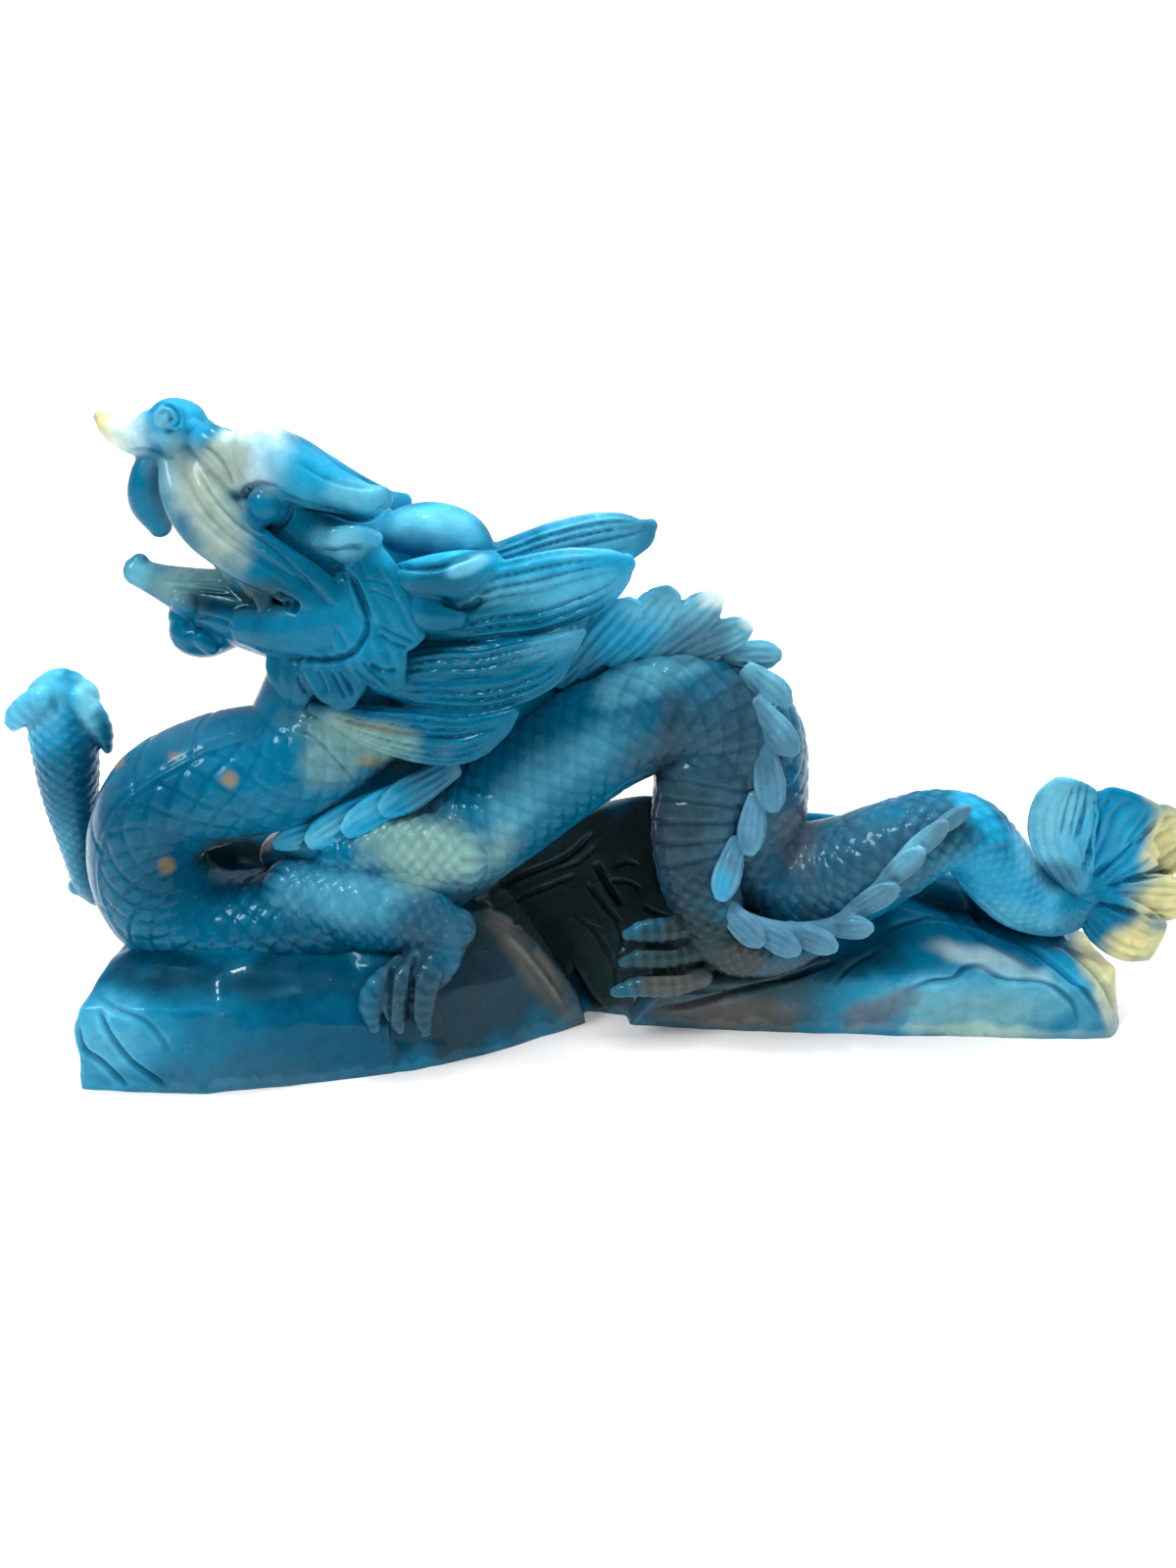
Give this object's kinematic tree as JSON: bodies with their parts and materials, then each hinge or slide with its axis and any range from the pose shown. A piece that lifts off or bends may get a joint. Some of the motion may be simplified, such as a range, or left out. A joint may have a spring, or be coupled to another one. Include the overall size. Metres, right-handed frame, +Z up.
{
  "type": "dragon statue",
  "caption": "Carved stone dragon crouching on a rock base, head raised with open jaws, one paw lifted and a leafy tail tuft, standing on a flat underside.",
  "frame": {"origin": "centre of the bounding box in X and Y, on the flat underside", "axes": "+X from the dragon's head towards its tail, -Y towards the viewer's side with the near paw, +Z up"},
  "size_m": [0.222, 0.053, 0.1155],
  "materials": {
    "blue_stone": "polished, slightly translucent teal-blue stone with pale, tan and dark zones"
  },
  "bodies": {
    "root": {"dragon_statue": "blue_stone"}
  },
  "joints": []
}
